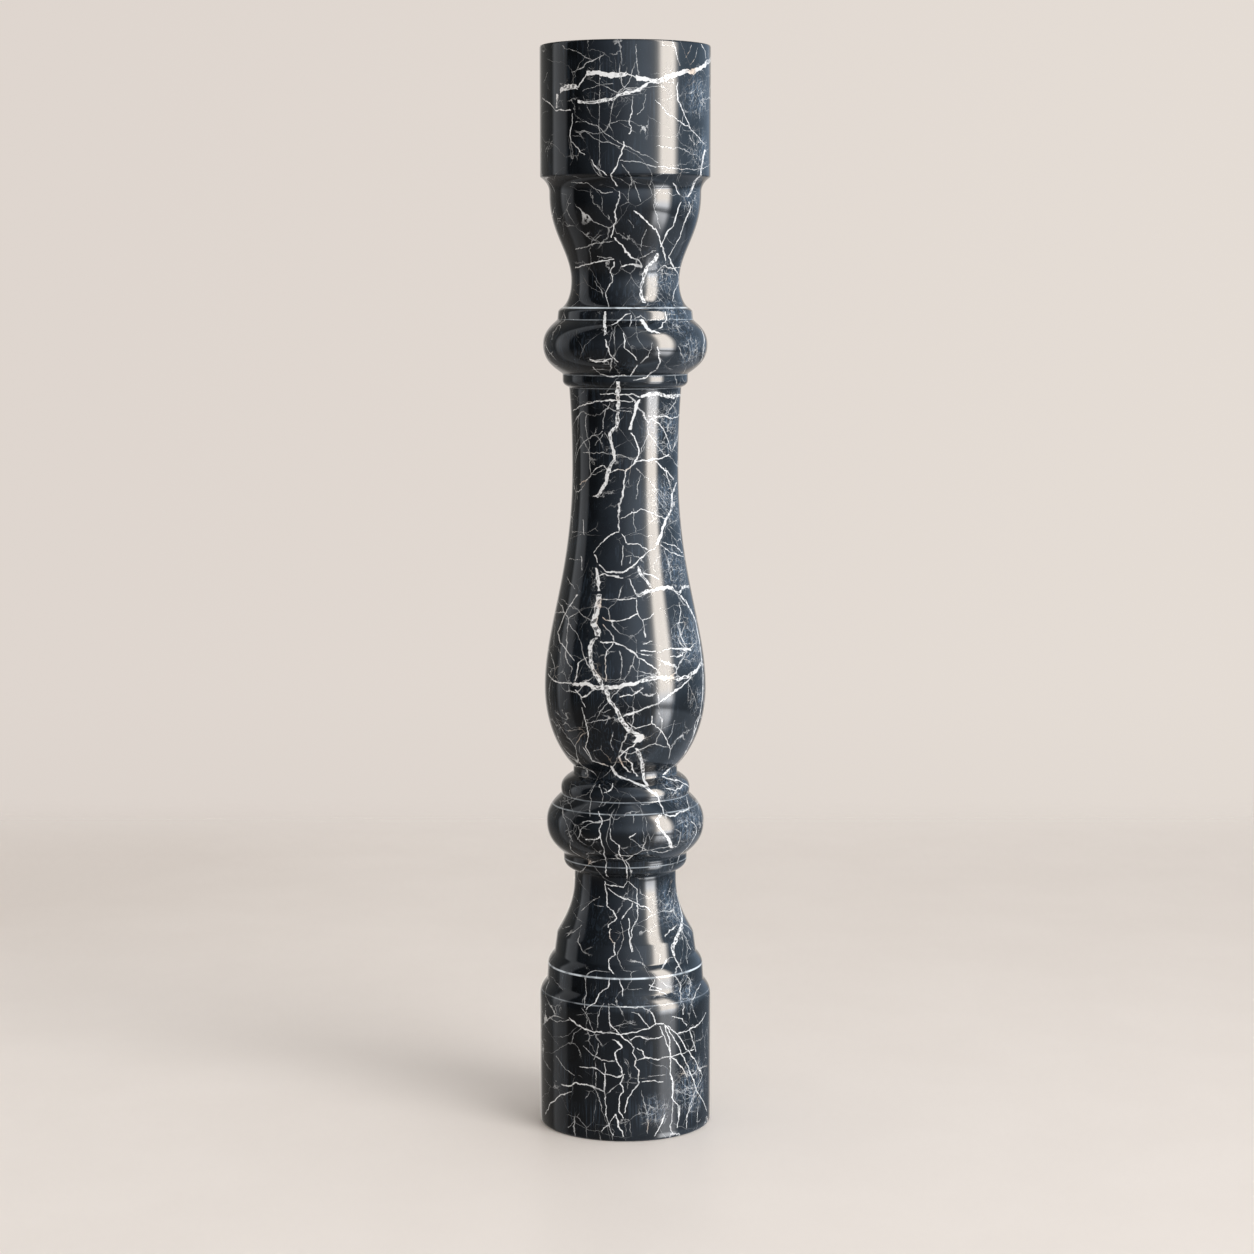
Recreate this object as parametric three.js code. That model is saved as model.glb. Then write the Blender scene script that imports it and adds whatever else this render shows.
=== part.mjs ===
// Stone baluster, turned as one solid from a single block of black marble.
// Millimetres, +Z up, origin at the centre of the underside.

import * as THREE from 'three';

// Overall height, from the underside to the bearing face. The vase takes what the mouldings leave of it.
const balusterHeight = 750;

// Base drum: a plain upright side with a rounded shoulder
const baseDrumRadius = 60.2;
const baseDrumSideHeight = 91;
const baseShoulderHeight = 11;
const undersideBevel = 1;

// Base ring, set back on the drum's shoulder, with a shoulder of its own
const baseRingRadius = 55.2;
const baseRingInset = 0.6;
const baseRingSideHeight = 10;
const baseRingShoulderHeight = 9.8;

// Tapering band that stands on the ring
const bandLowerRadius = 49.9;
const bandUpperRadius = 48;
const bandHeight = 13.4;

// Bell that sweeps in to the shank
const shankRadius = 35.7;
const bellHeight = 38.8;
const shankHeight = 6.8;

// Lower collar, rounded underneath
const lowerCollarRadius = 43.3;
const lowerCollarRoundHeight = 8;
const lowerCollarSideHeight = 4.3;

// Lower bead
const lowerBeadRadius = 55.2;
const lowerBeadTopRadius = 44.6;
const lowerBeadUnderHeight = 21.9;
const lowerBeadOverHeight = 19.8;

// Small ring between the lower bead and the vase
const ringRadius = 45.1;
const ringUnderHeight = 4.2;
const ringOverHeight = 10.6;

// Vase: a short foot, the belly, the long taper to the throat and a slight flare above it
const vaseFootRadius = 36.4;
const vaseFootHeight = 5;
const bellyRadius = 56.3;
const bellyHeight = 55;
const throatRadius = 36.8;
const flareTopRadius = 38.8;
const flareHeight = 56;

// Upper collar, rounded underneath
const upperCollarRadius = 43.3;
const upperCollarRoundHeight = 4.8;
const upperCollarSideHeight = 4.4;

// Upper bead
const upperBeadRadius = 56.7;
const upperBeadTopRadius = 46.8;
const upperBeadUnderHeight = 19.9;
const upperBeadOverHeight = 17.1;

// Seat ring on the upper bead
const seatRadius = 46.3;
const seatTopRadius = 43.2;
const seatSideHeight = 5;
const seatRoundHeight = 3.6;

// Cup: a hollow sweep in to its neck, a long flare out to its lip and a cove under the top drum
const cupNeckRadius = 37.2;
const cupSweepHeight = 17.8;
const cupRadius = 52.1;
const cupFlareHeight = 59;
const cupLipHeight = 1.5;
const coveHeight = 10;

// Top drum
const topDrumRadius = 58.4;
const topDrumSideHeight = 87.7;
const bearingFaceBevel = 0.8;

// Facets around the turning axis
const sides = 48;

// A curve's handle: how far it reaches, as shares of the curve's own width and height
const upright = (up) => ({ out: 0, up });
const slant = (out, up) => ({ out, up });

// The ways in which the curves leave their lower end and meet their upper one
const shoulderCurve = { leaves: upright(0.48), meets: slant(0.4, 0.25), steps: 3 };
const collarCurve = { leaves: slant(0.45, 0.12), meets: upright(0.6), steps: 3 };
const beadUnderCurve = { leaves: slant(0.48, 0.22), meets: upright(0.55), steps: 5 };
const beadOverCurve = { leaves: upright(0.5), meets: slant(0.5, 0.25), steps: 5 };
const ringUnderCurve = { leaves: slant(0.5, 0.25), meets: upright(0.5), steps: 2 };
const ringOverCurve = { leaves: upright(0.55), meets: slant(0.35, 0.2), steps: 4 };
const bellCurve = { leaves: slant(0.33, 0.2), meets: upright(0.5), steps: 6 };
const bellyCurve = { leaves: slant(0.4, 0.14), meets: upright(0.52), steps: 7 };
const taperCurve = { leaves: upright(0.28), meets: upright(0.48), steps: 9 };
const flareCurve = { leaves: upright(0.41), meets: slant(0.65, 0.3), steps: 4 };
const cupSweepCurve = { leaves: slant(0.6, 0.16), meets: upright(0.45), steps: 4 };
const cupFlareCurve = { leaves: upright(0.34), meets: upright(0.47), steps: 8 };
const coveCurve = { leaves: upright(0.37), meets: slant(0.62, 0.24), steps: 4 };

// Height that the mouldings under and over the vase take up
const heightUnderVase = baseDrumSideHeight + baseShoulderHeight
  + baseRingSideHeight + baseRingShoulderHeight
  + bandHeight + bellHeight + shankHeight
  + lowerCollarRoundHeight + lowerCollarSideHeight
  + lowerBeadUnderHeight + lowerBeadOverHeight
  + ringUnderHeight + ringOverHeight;
const heightOverVase = upperCollarRoundHeight + upperCollarSideHeight
  + upperBeadUnderHeight + upperBeadOverHeight
  + seatSideHeight + seatRoundHeight
  + cupSweepHeight + cupFlareHeight + cupLipHeight + coveHeight
  + topDrumSideHeight + bearingFaceBevel;
const vaseHeight = balusterHeight - heightUnderVase - heightOverVase;
const taperHeight = vaseHeight - vaseFootHeight - bellyHeight - flareHeight;

// Outline from the centre of the underside to the centre of the bearing face: x is the radius, y the height
const outline = [new THREE.Vector2(0, 0)];

function lineTo(radius, rise) {
  const start = outline.at(-1);
  outline.push(new THREE.Vector2(radius, start.y + rise));
}

function curveTo(radius, rise, { leaves, meets, steps }) {
  const start = outline.at(-1);
  const end = new THREE.Vector2(radius, start.y + rise);
  const spread = end.x - start.x;
  const lowerHandle = new THREE.Vector2(start.x + spread * leaves.out, start.y + rise * leaves.up);
  const upperHandle = new THREE.Vector2(end.x - spread * meets.out, end.y - rise * meets.up);
  const curve = new THREE.CubicBezierCurve(start, lowerHandle, upperHandle, end);
  outline.push(...curve.getPoints(steps).slice(1));
}

function drawFoot() {
  lineTo(baseDrumRadius - undersideBevel, 0);
  lineTo(baseDrumRadius, undersideBevel);
  lineTo(baseDrumRadius, baseDrumSideHeight - undersideBevel);
  curveTo(baseRingRadius, baseShoulderHeight, shoulderCurve);
  lineTo(baseRingRadius - baseRingInset, baseRingSideHeight);
  curveTo(bandLowerRadius, baseRingShoulderHeight, shoulderCurve);
  lineTo(bandUpperRadius, bandHeight);
  curveTo(shankRadius, bellHeight, bellCurve);
  lineTo(shankRadius, shankHeight);
}

function drawLowerBead() {
  curveTo(lowerCollarRadius, lowerCollarRoundHeight, collarCurve);
  lineTo(lowerCollarRadius, lowerCollarSideHeight);
  curveTo(lowerBeadRadius, lowerBeadUnderHeight, beadUnderCurve);
  curveTo(lowerBeadTopRadius, lowerBeadOverHeight, beadOverCurve);
  curveTo(ringRadius, ringUnderHeight, ringUnderCurve);
  curveTo(vaseFootRadius, ringOverHeight, ringOverCurve);
}

function drawVase() {
  lineTo(vaseFootRadius, vaseFootHeight);
  curveTo(bellyRadius, bellyHeight, bellyCurve);
  curveTo(throatRadius, taperHeight, taperCurve);
  curveTo(flareTopRadius, flareHeight, flareCurve);
}

function drawUpperBead() {
  curveTo(upperCollarRadius, upperCollarRoundHeight, collarCurve);
  lineTo(upperCollarRadius, upperCollarSideHeight);
  curveTo(upperBeadRadius, upperBeadUnderHeight, beadUnderCurve);
  curveTo(upperBeadTopRadius, upperBeadOverHeight, beadOverCurve);
  lineTo(seatRadius, seatSideHeight);
  curveTo(seatTopRadius, seatRoundHeight, shoulderCurve);
}

function drawHead() {
  curveTo(cupNeckRadius, cupSweepHeight, cupSweepCurve);
  curveTo(cupRadius, cupFlareHeight, cupFlareCurve);
  lineTo(cupRadius, cupLipHeight);
  curveTo(topDrumRadius, coveHeight, coveCurve);
  lineTo(topDrumRadius, topDrumSideHeight);
  lineTo(topDrumRadius - bearingFaceBevel, bearingFaceBevel);
  lineTo(0, 0);
}

drawFoot();
drawLowerBead();
drawVase();
drawUpperBead();
drawHead();

// Polished black marble: the body colour, without its veins
const blackMarble = new THREE.MeshStandardMaterial({
  name: 'black_marble',
  color: 0x1c2024,
  roughness: 0.08,
  metalness: 0,
});

// The lathe turns around Y, so the turned solid is stood up on Z
const turned = new THREE.LatheGeometry(outline, sides);
turned.rotateX(Math.PI / 2);

const baluster = new THREE.Mesh(turned, blackMarble);
baluster.name = 'baluster';

const stoneBaluster = new THREE.Group();
stoneBaluster.add(baluster);

export default stoneBaluster;
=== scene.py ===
import math
import bpy
import bmesh
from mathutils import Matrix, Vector
from mathutils.geometry import interpolate_bezier


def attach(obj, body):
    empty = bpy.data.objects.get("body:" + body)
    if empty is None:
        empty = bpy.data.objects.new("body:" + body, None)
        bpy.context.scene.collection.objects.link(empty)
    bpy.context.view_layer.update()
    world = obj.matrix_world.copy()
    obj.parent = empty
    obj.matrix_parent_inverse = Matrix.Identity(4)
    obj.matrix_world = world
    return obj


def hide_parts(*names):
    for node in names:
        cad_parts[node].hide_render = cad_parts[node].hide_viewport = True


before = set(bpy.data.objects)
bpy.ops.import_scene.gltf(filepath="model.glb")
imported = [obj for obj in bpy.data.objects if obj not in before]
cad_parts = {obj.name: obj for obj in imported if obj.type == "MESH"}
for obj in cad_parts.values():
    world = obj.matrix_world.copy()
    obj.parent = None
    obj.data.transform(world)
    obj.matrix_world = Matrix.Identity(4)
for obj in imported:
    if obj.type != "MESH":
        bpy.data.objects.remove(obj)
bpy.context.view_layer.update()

mm = 0.001


# The camera, fitted to the photo
camera = dict(
    lens=82.9, sensor=36,           # millimetres
    place=(0.0012, -2.0, 0.59),    # metres
    tiltDown=6.805,                 # degrees
    photoWidth=1254,
)


def addCamera():
    lens = bpy.data.cameras.new("camera")
    lens.lens = camera["lens"]
    lens.sensor_width = camera["sensor"]
    eye = bpy.data.objects.new("camera", lens)
    eye.location = camera["place"]
    eye.rotation_euler = (math.radians(90 - camera["tiltDown"]), 0, 0)
    bpy.context.collection.objects.link(eye)
    bpy.context.scene.camera = eye
    print("camera set")


# The baluster's mouldings in millimetres, from the floor up, as turned
baluster = dict(
    height=750,
    baseDrumRadius=60.2, baseDrumSideHeight=91, baseShoulderHeight=11, undersideBevel=1,
    baseRingRadius=55.2, baseRingInset=0.6, baseRingSideHeight=10, baseRingShoulderHeight=9.8,
    bandLowerRadius=49.9, bandUpperRadius=48, bandHeight=13.4,
    shankRadius=35.7, bellHeight=38.8, shankHeight=6.8,
    lowerCollarRadius=43.3, lowerCollarRoundHeight=8, lowerCollarSideHeight=4.3,
    lowerBeadRadius=55.2, lowerBeadTopRadius=44.6, lowerBeadUnderHeight=21.9, lowerBeadOverHeight=19.8,
    ringRadius=45.1, ringUnderHeight=4.2, ringOverHeight=10.6,
    vaseFootRadius=36.4, vaseFootHeight=5, bellyRadius=56.3, bellyHeight=55,
    throatRadius=36.8, flareTopRadius=38.8, flareHeight=56,
    upperCollarRadius=43.3, upperCollarRoundHeight=4.8, upperCollarSideHeight=4.4,
    upperBeadRadius=56.7, upperBeadTopRadius=46.8, upperBeadUnderHeight=19.9, upperBeadOverHeight=17.1,
    seatRadius=46.3, seatTopRadius=43.2, seatSideHeight=5, seatRoundHeight=3.6,
    cupNeckRadius=37.2, cupSweepHeight=17.8, cupRadius=52.1, cupFlareHeight=59, cupLipHeight=1.5,
    coveHeight=10, topDrumRadius=58.4, topDrumSideHeight=87.7, bearingFaceBevel=0.8,
    cornerRadius=0.7,       # polished arrises and the foot of each ledge
    cornerSteps=4,
    sides=200,
    stretch=3.2,            # longest straight stretch between two loops
    weld=0.001,
)

# A curve's handles at its lower and upper end, as shares of its own width and height, and its steps
curves = dict(
    shoulder=((0, 0.48), (0.4, 0.25), 8),
    collar=((0.45, 0.12), (0, 0.6), 8),
    beadUnder=((0.48, 0.22), (0, 0.55), 16),
    beadOver=((0, 0.5), (0.5, 0.25), 16),
    ringUnder=((0.5, 0.25), (0, 0.5), 5),
    ringOver=((0, 0.55), (0.35, 0.2), 10),
    bell=((0.33, 0.2), (0, 0.5), 18),
    belly=((0.4, 0.14), (0, 0.52), 26),
    taper=((0, 0.28), (0, 0.48), 46),
    flare=((0, 0.41), (0.65, 0.3), 18),
    cupSweep=((0.6, 0.16), (0, 0.45), 12),
    cupFlare=((0, 0.34), (0, 0.47), 24),
    cove=((0, 0.37), (0.62, 0.24), 8),
)

outline = [Vector((0, 0, 0))]       # x is the radius, z the height, in millimetres
corners = []                        # the outline's points that get rounded


def lineTo(radius, rise, corner=True):
    outline.append(Vector((radius, 0, outline[-1].z + rise)))
    if corner:
        corners.append(len(outline) - 1)


def curveTo(radius, rise, curve, corner=True):
    leaves, meets, steps = curves[curve]
    start = outline[-1]
    end = Vector((radius, 0, start.z + rise))
    spread = end.x - start.x
    lowerHandle = start + Vector((spread * leaves[0], 0, rise * leaves[1]))
    upperHandle = end - Vector((spread * meets[0], 0, rise * meets[1]))
    outline.extend(interpolate_bezier(start, lowerHandle, upperHandle, end, steps + 1)[1:])
    if corner:
        corners.append(len(outline) - 1)


def drawOutline(b):
    smooth = False      # no corner there
    lineTo(b["baseDrumRadius"] - b["undersideBevel"], 0)
    lineTo(b["baseDrumRadius"], b["undersideBevel"])
    lineTo(b["baseDrumRadius"], b["baseDrumSideHeight"] - b["undersideBevel"], smooth)
    curveTo(b["baseRingRadius"], b["baseShoulderHeight"], "shoulder")
    lineTo(b["baseRingRadius"] - b["baseRingInset"], b["baseRingSideHeight"], smooth)
    curveTo(b["bandLowerRadius"], b["baseRingShoulderHeight"], "shoulder")
    lineTo(b["bandUpperRadius"], b["bandHeight"])
    curveTo(b["shankRadius"], b["bellHeight"], "bell", smooth)
    lineTo(b["shankRadius"], b["shankHeight"])
    curveTo(b["lowerCollarRadius"], b["lowerCollarRoundHeight"], "collar", smooth)
    lineTo(b["lowerCollarRadius"], b["lowerCollarSideHeight"])
    curveTo(b["lowerBeadRadius"], b["lowerBeadUnderHeight"], "beadUnder", smooth)
    curveTo(b["lowerBeadTopRadius"], b["lowerBeadOverHeight"], "beadOver")
    curveTo(b["ringRadius"], b["ringUnderHeight"], "ringUnder", smooth)
    curveTo(b["vaseFootRadius"], b["ringOverHeight"], "ringOver")
    underVase = outline[-1].z
    overVase = sum(b[name] for name in (
        "upperCollarRoundHeight", "upperCollarSideHeight", "upperBeadUnderHeight", "upperBeadOverHeight",
        "seatSideHeight", "seatRoundHeight", "cupSweepHeight", "cupFlareHeight", "cupLipHeight",
        "coveHeight", "topDrumSideHeight", "bearingFaceBevel"))
    vaseHeight = b["height"] - underVase - overVase
    taperHeight = vaseHeight - b["vaseFootHeight"] - b["bellyHeight"] - b["flareHeight"]
    lineTo(b["vaseFootRadius"], b["vaseFootHeight"])
    curveTo(b["bellyRadius"], b["bellyHeight"], "belly", smooth)
    curveTo(b["throatRadius"], taperHeight, "taper", smooth)
    curveTo(b["flareTopRadius"], b["flareHeight"], "flare")
    curveTo(b["upperCollarRadius"], b["upperCollarRoundHeight"], "collar", smooth)
    lineTo(b["upperCollarRadius"], b["upperCollarSideHeight"])
    curveTo(b["upperBeadRadius"], b["upperBeadUnderHeight"], "beadUnder", smooth)
    curveTo(b["upperBeadTopRadius"], b["upperBeadOverHeight"], "beadOver")
    lineTo(b["seatRadius"], b["seatSideHeight"], smooth)
    curveTo(b["seatTopRadius"], b["seatRoundHeight"], "shoulder")
    curveTo(b["cupNeckRadius"], b["cupSweepHeight"], "cupSweep", smooth)
    curveTo(b["cupRadius"], b["cupFlareHeight"], "cupFlare", smooth)
    lineTo(b["cupRadius"], b["cupLipHeight"], smooth)
    curveTo(b["topDrumRadius"], b["coveHeight"], "cove")
    lineTo(b["topDrumRadius"], b["topDrumSideHeight"])
    lineTo(b["topDrumRadius"] - b["bearingFaceBevel"], b["bearingFaceBevel"])
    lineTo(0, 0, smooth)


def turnBaluster(b):
    drawOutline(b)
    mesh = bmesh.new()
    points = [mesh.verts.new(point * mm) for point in outline]
    for lower, upper in zip(points[:-1], points[1:]):
        mesh.edges.new((lower, upper))
    bmesh.ops.bevel(mesh, geom=[points[i] for i in corners], affect="VERTICES", material=-1, profile=0.5,
                    offset=b["cornerRadius"] * mm, offset_type="OFFSET", segments=b["cornerSteps"])
    for edge in list(mesh.edges):
        cuts = int(edge.calc_length() / (b["stretch"] * mm))
        if cuts:
            bmesh.ops.subdivide_edges(mesh, edges=[edge], cuts=cuts)
    bmesh.ops.spin(mesh, geom=mesh.verts[:] + mesh.edges[:], cent=(0, 0, 0), axis=(0, 0, 1),
                   angle=math.tau, steps=b["sides"], use_merge=True)
    bmesh.ops.remove_doubles(mesh, verts=mesh.verts[:], dist=b["weld"] * mm)
    bmesh.ops.recalc_face_normals(mesh, faces=mesh.faces[:])
    for face in mesh.faces:
        face.smooth = True
    data = bpy.data.meshes.new("turnedBaluster")
    mesh.to_mesh(data)
    mesh.free()
    piece = bpy.data.objects.new("turnedBaluster", data)
    bpy.context.collection.objects.link(piece)
    print("baluster turned,", len(data.polygons), "faces")
    return piece


# A shader socket that works in sums: each operator adds its Math node
class Wire:
    def __init__(self, tree, socket=None):
        self.tree = tree
        self.socket = socket

    # Any node, with its settings first and then the values or links of its sockets
    def node(self, kind, settings=None, sockets=None, out=0):
        made = self.tree.nodes.new("ShaderNode" + kind)
        for name, value in (settings or {}).items():
            if name == "stops":
                self.setStops(made.color_ramp, value)
            elif name == "route":
                self.setRoute(made.mapping, value)
            else:
                setattr(made, name, value)
        for name, value in (sockets or {}).items():
            if isinstance(value, Wire):
                self.tree.links.new(value.socket, made.inputs[name])
            else:
                made.inputs[name].default_value = value
        return Wire(self.tree, made.outputs[out] if made.outputs else None)

    def setStops(self, ramp, stops):
        for element, (position, colour) in zip(ramp.elements, (stops[0], stops[-1])):
            element.position = position
            element.color = colour
        for position, colour in stops[1:-1]:
            ramp.elements.new(position).color = colour

    def setRoute(self, mapping, route):
        mapping.use_clip = False
        points = mapping.curves[0].points
        points[0].location = route[0]
        points[1].location = route[-1]
        for spot in route[1:-1]:
            points.new(*spot)
        for point in points:
            point.handle_type = "VECTOR"
        mapping.update()

    def math(self, operation, *terms):
        return self.node("Math", {"operation": operation}, dict(enumerate(terms)))

    def vector(self, operation, *terms, out=0):
        return self.node("VectorMath", {"operation": operation}, dict(enumerate(terms)), out)

    def __add__(self, other):
        return self.math("ADD", self, other)

    def __radd__(self, other):
        return self.math("ADD", other, self)

    def __sub__(self, other):
        return self.math("SUBTRACT", self, other)

    def __rsub__(self, other):
        return self.math("SUBTRACT", other, self)

    def __mul__(self, other):
        return self.math("MULTIPLY", self, other)

    def __rmul__(self, other):
        return self.math("MULTIPLY", other, self)

    def __truediv__(self, other):
        return self.math("DIVIDE", self, other)

    def __rtruediv__(self, other):
        return self.math("DIVIDE", other, self)

    def __abs__(self):
        return self.math("ABSOLUTE", self)

    def most(self, other):
        return self.math("MAXIMUM", self, other)

    # A vector's three parts
    def split(self):
        parts = self.node("SeparateXYZ", None, {"Vector": self}).socket.node
        return [Wire(self.tree, part) for part in parts.outputs]

    def shift(self, by):
        return self.vector("ADD", self, by)

    # 0 below low and 1 above high, with a soft step between; low may be the larger
    def fade(self, low, high):
        return self.node("MapRange", {"interpolation_type": "SMOOTHSTEP"},
                         {"Value": self, "From Min": low, "From Max": high})

    def blend(self, under, over):
        return self.node("Mix", {"data_type": "RGBA"}, {0: self, 6: under, 7: over}, out=2)


def rgb(red, green, blue):
    return (red, green, blue, 1)


def startMaterial(name):
    material = bpy.data.materials.new(name)
    material.use_nodes = True
    material.node_tree.nodes.clear()
    return material, Wire(material.node_tree)


def finishMaterial(wire, shader):
    wire.node("OutputMaterial", None, {"Surface": shader})


# Polished black marble: its tones, and how its veins are drawn, in millimetres
marble = dict(
    body=rgb(0.0042, 0.0052, 0.0066),
    smoke=rgb(0.0125, 0.017, 0.0235),
    mist=rgb(0.11, 0.16, 0.23),
    vein=rgb(0.84, 0.86, 0.88),
    warmVein=rgb(0.68, 0.52, 0.38),
    # colour of the highlights painted along the ledges
    ledgeHighlightColour=rgb(0.7, 0.78, 0.86),
    roughness=0.05, veinRoughness=0.11, honedRoughness=0.38,
    refraction=1.5, specular=0.35,
    boldFrom=1.7,           # veins this wide get ragged edges and a mottled middle
    thinFrom=0.85,          # the ones below this are faint hairlines
    thinShare=0.54,         # of the width read off the photo, for all but the bold ones
    blur=0.12,              # soft edge of a vein
    closest=0.4,            # between two points of a route, millimetres or degrees
    widest=2.2,             # times as wide a vein gets at most where it runs aslant
    endShare=0.8,           # of its width, at its ends
    pastEnd=-50,            # half width past its ends, so that it's gone there
    knot=0.35,              # added to a thin vein's half width where it knots
    hollowFrom=0.15, hollowFull=0.55,   # depth in a bold vein
    besideFar=-7, besideNear=-1,        # depth of the hair beside the bold veins
    mistCore=0.25,          # of a patch's reach, where it's thickest
    mistEdge=12,            # the mist thins out this far before the stone's sides
    streakLength=20,        # of its width
    ledgeHighlightBlur=0.2,
    polishEnds=0.3, honedFrom=0.7,      # below the end faces' level
)

# Noise that bends the veins: its size, how far it bends, detail and seed
bends = dict(gentle=(50, 26, 1, 40), rough=(5, 2.2, 3, 60), jag=(6, 2.1, 3, 20))
bendRoughness = 0.62

# Noise that frays their edges: its size, how deep it cuts, detail and seed
frays = dict(bold=(3.2, 1.1, 3, 3), thin=(2.4, 0.3, 2, 9))

# Patches of noise: their size, detail and seed, and the noise where they start and are full
patches = dict(
    hollow=(2.2, 2, 15, 0.48, 0.56), hollowPlaces=(26, 1, 33, 0.38, 0.52),
    knots=(11, 2, 45, 0.58, 0.72), faint=(13, 2, 27, 0.3, 0.5),
    besideBold=(9, 1, 71, 0.45, 0.6), ledgeHighlightBreaks=(14, 3, 83, 0.36, 0.58),
    flecks=(1.6, 3, 17, 0.48, 0.64), fogPlaces=(12, 3, 19, 0.32, 0.58),
    streaks=(1.3, 2, 5, 0.5, 0.66), streakPlaces=(30, 2, 61, 0.42, 0.62),
    bigSmoke=(70, 5, 2, 0.42, 0.72), smallSmoke=(9, 3, 31, 0.4, 0.8),
    warmth=(26, 2, 77, 0.62, 0.76),
)

# Nets of cracks: cell size, largest half width, how rare they are and seed
nets = dict(
    coarse=(46, 0.42, 0.46, 11), fine=(19, 0.22, 0.5, 53),
    hair=(7, 0.14, 0.38, 91), crackle=(4.2, 0.1, 0.44, 29),
)

# Straight cracks through the whole stone: which way they face, spacing, width, how rare they are and seed
sheets = [
    ((0.8, 0.25, 0.55), 34, 0.22, 0.5, 13),
    ((-0.62, 0.3, 0.72), 27, 0.18, 0.52, 37),
    ((0.15, -0.35, 0.92), 22, 0.16, 0.54, 57),
]

# How the cracks come and go: patches and thick places as shares of a cell or of the spacing
cracks = dict(
    netPatch=1.3, netEdge=0.08, thickPatch=0.4, thickSeed=7, thickFrom=0.3, thickFull=0.7,
    sheetPatch=1.2, sheetSeed=3, sheetEdge=0.1, detail=2, swaySize=60, swayDetail=1, sway=2,
)

# How strongly each layer shows
strength = dict(
    hollow=0.85, faint=0.45, hairline=0.62, hair=0.8, crackle=0.8, besideBold=0.6,
    coarse=0.65, fine=0.4, sheets=0.38, ledgeHighlightBreaks=0.7, warmth=0.8,
    flecks=0.45, streaks=0.45, haze=0.1, looseStreaks=0.12, bigSmoke=0.7, smallSmoke=0.3,
)

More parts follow.
